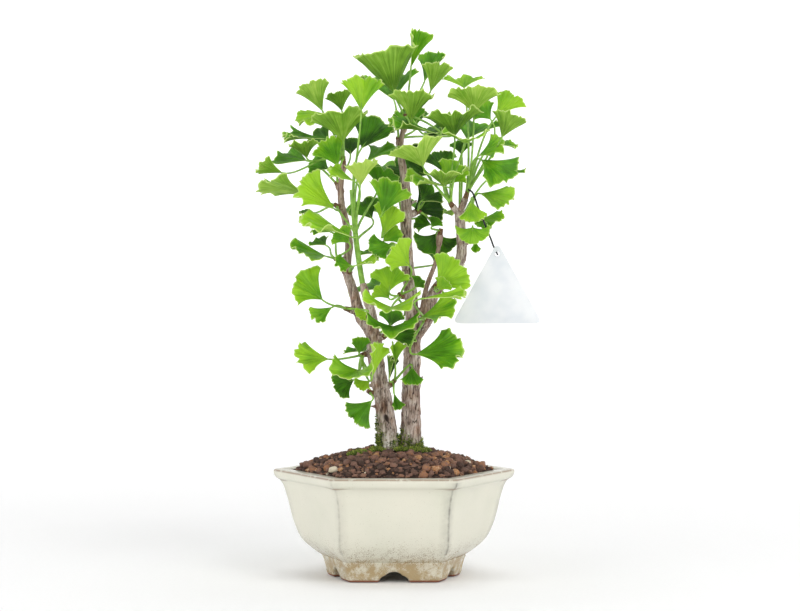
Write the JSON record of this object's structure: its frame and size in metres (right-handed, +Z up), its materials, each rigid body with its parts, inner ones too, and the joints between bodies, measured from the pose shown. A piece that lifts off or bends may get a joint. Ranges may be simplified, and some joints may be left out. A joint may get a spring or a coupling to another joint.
{
  "type": "ginkgo bonsai in a pot",
  "caption": "Two-trunked ginkgo bonsai with long-stalked fan leaves, planted in lava granules in a hexagonal glazed pot on six feet, with a blank hanging label.",
  "frame": {"origin": "on the ground under the middle of the pot", "axes": "+Z up, +X to the right seen from the front, +Y to the back"},
  "size_m": [0.2331, 0.173, 0.4503],
  "materials": {
    "glaze": "glossy cream glaze",
    "granules": "rough red-brown lava",
    "bark": "rough bark",
    "leaf": "soft satin leaf",
    "label": "thin translucent sheet",
    "tie": "plastic-coated wire"
  },
  "bodies": {
    "root": {"pot": "glaze", "soil": "granules", "trunk_left": "bark", "trunk_right": "bark", "label": "label", "label_tie": "tie", "shoot_crown_top": "leaf", "shoot_crown_back": "leaf", "shoot_left_top": "leaf", "shoot_left_back": "leaf", "shoot_left_leader": "leaf", "shoot_left_middle": "leaf", "shoot_left_lower": "leaf", "shoot_left_wing": "leaf", "shoot_left_outer": "leaf", "shoot_left_skirt": "leaf", "shoot_left_foot": "leaf", "shoot_between": "leaf", "shoot_fork": "leaf", "shoot_inner_low": "leaf", "shoot_fork_right": "leaf", "shoot_right_lower": "leaf", "shoot_trunk_middle": "leaf", "shoot_trunk_upper": "leaf", "shoot_trunk_dark": "leaf", "shoot_twig": "leaf", "shoot_right_spur": "leaf", "shoot_right_top": "leaf", "shoot_right_side": "leaf", "shoot_right_under": "leaf", "shoot_right_back": "leaf", "shoot_trunk_back": "leaf", "shoot_trunk_back_low": "leaf", "shoot_low_back": "leaf"}
  },
  "joints": []
}
